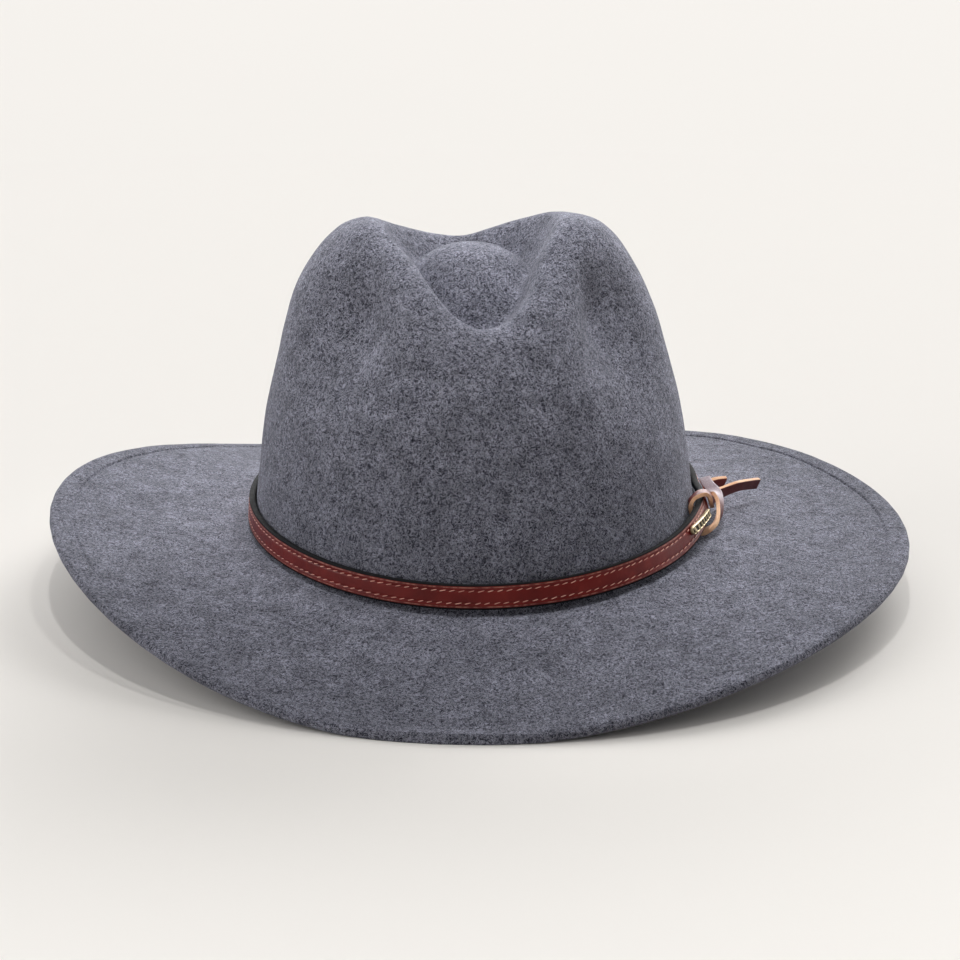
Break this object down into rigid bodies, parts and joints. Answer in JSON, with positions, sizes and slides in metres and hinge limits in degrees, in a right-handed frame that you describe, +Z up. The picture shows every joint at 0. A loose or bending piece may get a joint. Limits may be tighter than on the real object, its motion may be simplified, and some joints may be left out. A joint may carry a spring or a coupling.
{
  "type": "outdoor hat",
  "caption": "Wide-brimmed felt hat with a pinched teardrop crown, a wavy brim, a narrow stitched leather band and a tied leather lace with a small brass bar.",
  "frame": {"origin": "centre of the bounding box in plan, at the table the brim rests on", "axes": "+Z up, -Y the hat's front, +X the wearer's left, where the lace is tied"},
  "size_m": [0.3224, 0.3514, 0.142],
  "materials": {
    "felt": "matte wool felt, grey-blue with lighter and darker fibres",
    "band_leather": "smooth red-brown leather with dark edges and two rows of light stitches",
    "lace_leather": "smooth red-brown face, tan raw edges and back",
    "pin_brass": "aged brass, satin"
  },
  "bodies": {
    "root": {"felt_body": "felt", "hatband": "band_leather", "tie_lace": "lace_leather", "tie_short_tail": "lace_leather", "brass_pin": "pin_brass"}
  },
  "joints": []
}
